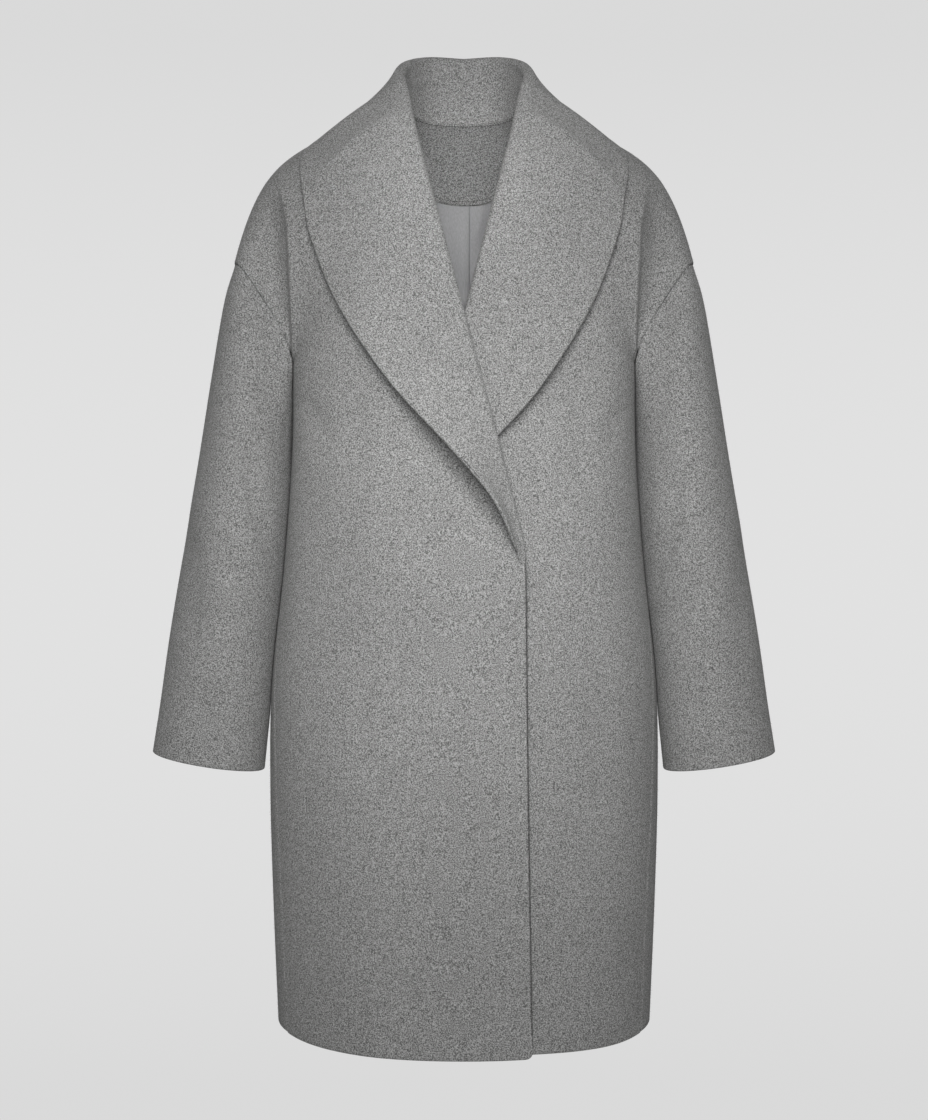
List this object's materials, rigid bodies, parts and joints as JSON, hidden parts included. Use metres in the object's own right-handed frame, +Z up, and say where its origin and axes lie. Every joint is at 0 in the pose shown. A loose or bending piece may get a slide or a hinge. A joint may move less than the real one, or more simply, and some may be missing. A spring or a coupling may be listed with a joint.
{
  "type": "winter coat",
  "caption": "Knee-length melange wool coat with a wide shawl collar, wrapped front, dropped shoulders and wide full-length sleeves, hollow as if worn.",
  "frame": {"origin": "middle of the neck opening at the height where the shoulders carry the coat", "axes": "+Z up along the body, the front faces -Y, +X towards the wearer's left"},
  "size_m": [0.661, 0.29, 1.0565],
  "materials": {
    "wool": "brushed melange wool",
    "satin": "satin lining"
  },
  "bodies": {
    "root": {"back": "wool", "front_left": "wool", "front_right": "wool", "sleeve_left": "wool", "sleeve_right": "wool", "shawl_collar": "wool", "back_neck_facing": "wool", "back_lining": "satin"}
  },
  "joints": []
}
